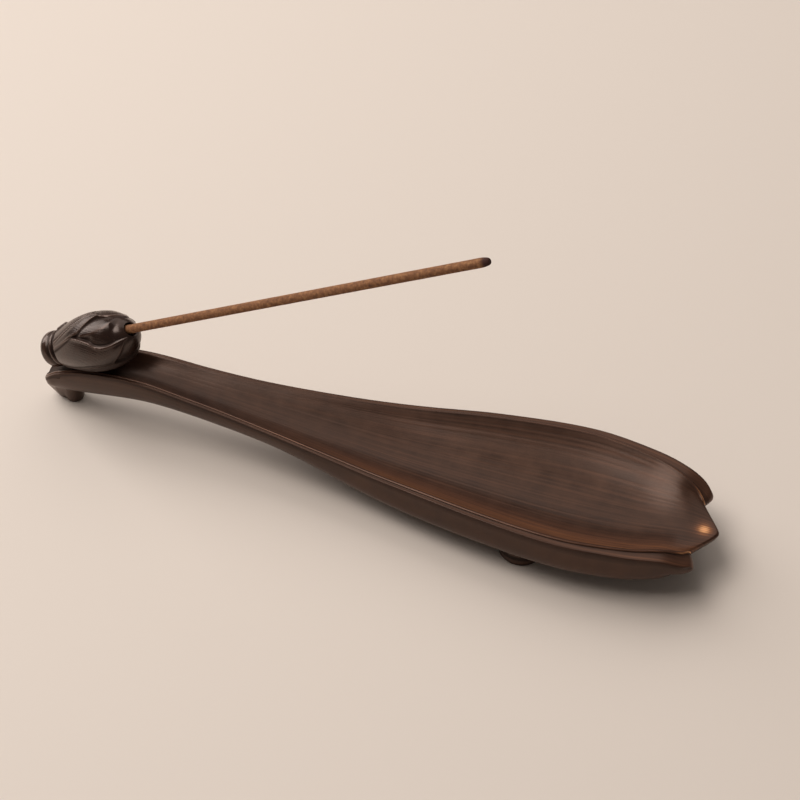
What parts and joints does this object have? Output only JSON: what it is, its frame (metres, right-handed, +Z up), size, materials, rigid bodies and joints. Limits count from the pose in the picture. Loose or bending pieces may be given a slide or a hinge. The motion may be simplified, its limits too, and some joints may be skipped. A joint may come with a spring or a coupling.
{
  "type": "incense burner",
  "caption": "Lotus petal dish on cast feet with a leaning lotus bud that holds an incense stick over the ash bowl.",
  "frame": {"origin": "middle of the footprint on the table, at the height of the feet's soles", "axes": "+X along the dish from the bud end to the middle petal's tip, +Y to the left of that direction, +Z up"},
  "size_m": [0.1899, 0.042, 0.0873],
  "materials": {
    "dish_bronze": "dark brown patina, waxed, rubbed to copper on the petal tips",
    "bud_bronze": "dark brown patina, waxed to a soft gloss",
    "screw_steel": "zinc plated, slightly dulled",
    "incense": "matt rolled incense paste with a charred end"
  },
  "bodies": {
    "holder": {"petal_dish": "dish_bronze", "lotus_bud": "bud_bronze", "bud_screw": "screw_steel", "screw_washer": "screw_steel"},
    "stick": {"incense_stick": "incense"}
  },
  "joints": [
    {"name": "stick_slide", "type": "slide", "parent": "holder", "child": "stick", "axis": [0.878, 0, 0.4787], "range_m": [0, 0.0105]}
  ]
}
